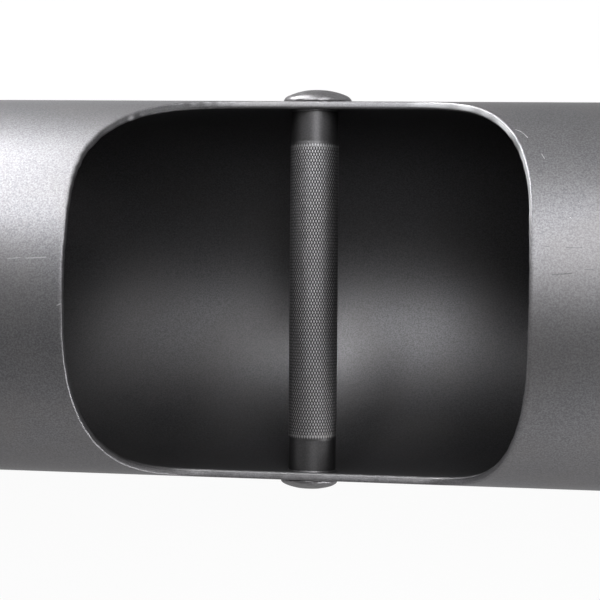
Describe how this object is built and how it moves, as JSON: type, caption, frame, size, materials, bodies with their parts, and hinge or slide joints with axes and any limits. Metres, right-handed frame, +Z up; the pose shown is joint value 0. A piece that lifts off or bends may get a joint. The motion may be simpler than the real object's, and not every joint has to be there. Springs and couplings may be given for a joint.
{
  "type": "strongman log bar",
  "caption": "Large steel tube with two cut hand windows, a knurled handle welded across each window and a plate loading sleeve on each end.",
  "frame": {"origin": "on the floor under the middle of the tube, which lies on its closed back", "axes": "+X along the log towards its right sleeve, +Y across it towards the picture's upper side, +Z up out of the hand windows"},
  "size_m": [1.9938, 0.3234, 0.3048],
  "materials": {
    "tube_coating": "satin graphite powder coat with a fine orange-peel grain",
    "handle_coating": "dark powder coat over a fine diamond knurl",
    "weld_bead": "lumpy ground weld under the same powder coat",
    "plate_coating": "satin graphite powder coat",
    "sleeve_coating": "satin graphite powder coat, rubbed by plates"
  },
  "bodies": {
    "root": {"log_tube": "tube_coating", "handle_left": "handle_coating", "handle_right": "handle_coating", "plug_weld_left_back": "weld_bead", "plug_weld_left_front": "weld_bead", "plug_weld_right_back": "weld_bead", "plug_weld_right_front": "weld_bead", "handle_fillet_left_back": "weld_bead", "handle_fillet_left_front": "weld_bead", "handle_fillet_right_back": "weld_bead", "handle_fillet_right_front": "weld_bead", "end_plate_left": "plate_coating", "end_plate_right": "plate_coating", "end_plate_weld_left": "weld_bead", "end_plate_weld_right": "weld_bead", "bulkhead_left": "plate_coating", "bulkhead_right": "plate_coating", "bulkhead_stitch_left_1": "weld_bead", "bulkhead_stitch_left_2": "weld_bead", "bulkhead_stitch_left_3": "weld_bead", "bulkhead_stitch_left_4": "weld_bead", "bulkhead_stitch_right_1": "weld_bead", "bulkhead_stitch_right_2": "weld_bead", "bulkhead_stitch_right_3": "weld_bead", "bulkhead_stitch_right_4": "weld_bead", "sleeve_left": "sleeve_coating", "sleeve_right": "sleeve_coating", "sleeve_weld_left": "weld_bead", "sleeve_weld_right": "weld_bead", "stub_weld_left": "weld_bead", "stub_weld_right": "weld_bead", "sleeve_cap_left": "plate_coating", "sleeve_cap_right": "plate_coating", "sleeve_cap_weld_left": "weld_bead", "sleeve_cap_weld_right": "weld_bead"}
  },
  "joints": []
}
